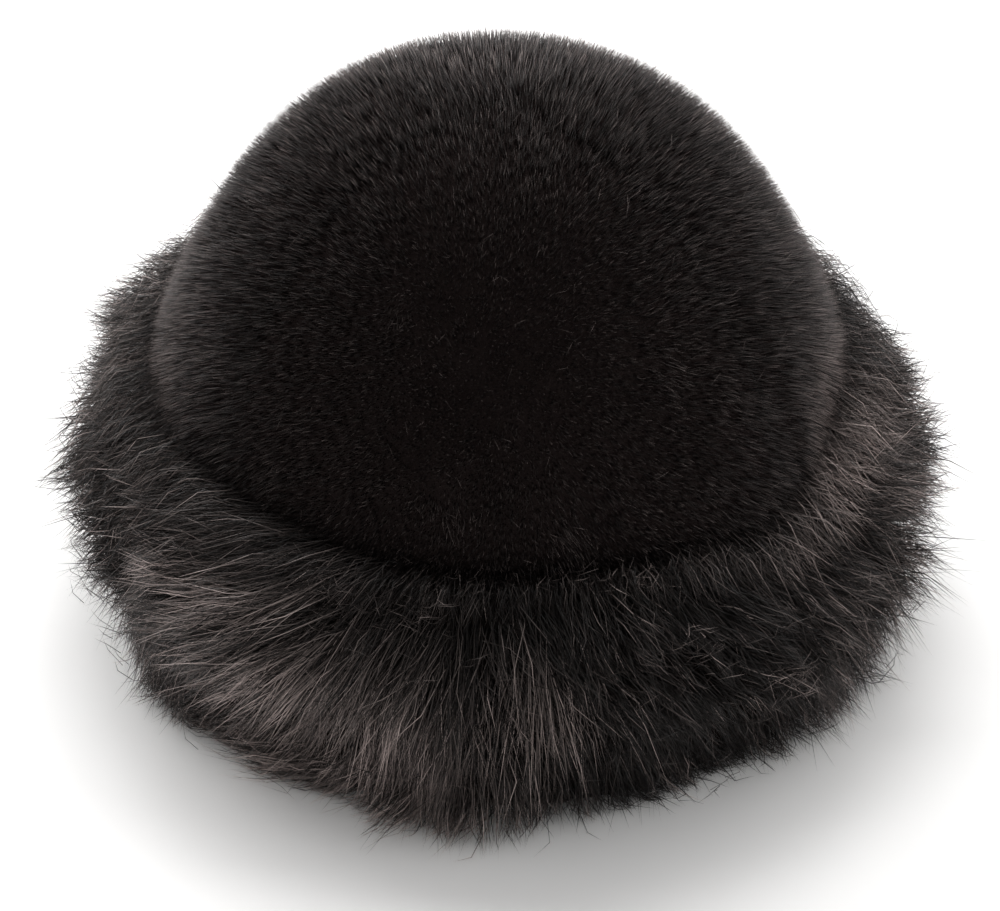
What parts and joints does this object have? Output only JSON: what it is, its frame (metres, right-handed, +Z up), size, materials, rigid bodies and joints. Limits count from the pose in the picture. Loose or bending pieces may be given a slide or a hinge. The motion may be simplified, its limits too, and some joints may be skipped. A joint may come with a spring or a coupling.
{
  "type": "fur hat",
  "caption": "Domed crown of short black fur in gores over a deep band of long straight hair, open below for the head.",
  "frame": {"origin": "on the surface that the hat stands on, under the middle of its crown", "axes": "+Z up through the crown, -Y to the front of the hat, +X to the viewer's right when the front is faced"},
  "size_m": [0.2577, 0.2651, 0.165],
  "materials": {
    "crown_fur": "short dense pile, standing on end, softly glossy",
    "brim_hair": "long straight glossy hair in locks",
    "band_pelt": "plain knitted backing, matt"
  },
  "bodies": {
    "root": {"crown_front": "crown_fur", "crown_right": "crown_fur", "crown_back": "crown_fur", "crown_left": "crown_fur", "brim_band": "band_pelt", "brim_fur": "brim_hair"}
  },
  "joints": []
}
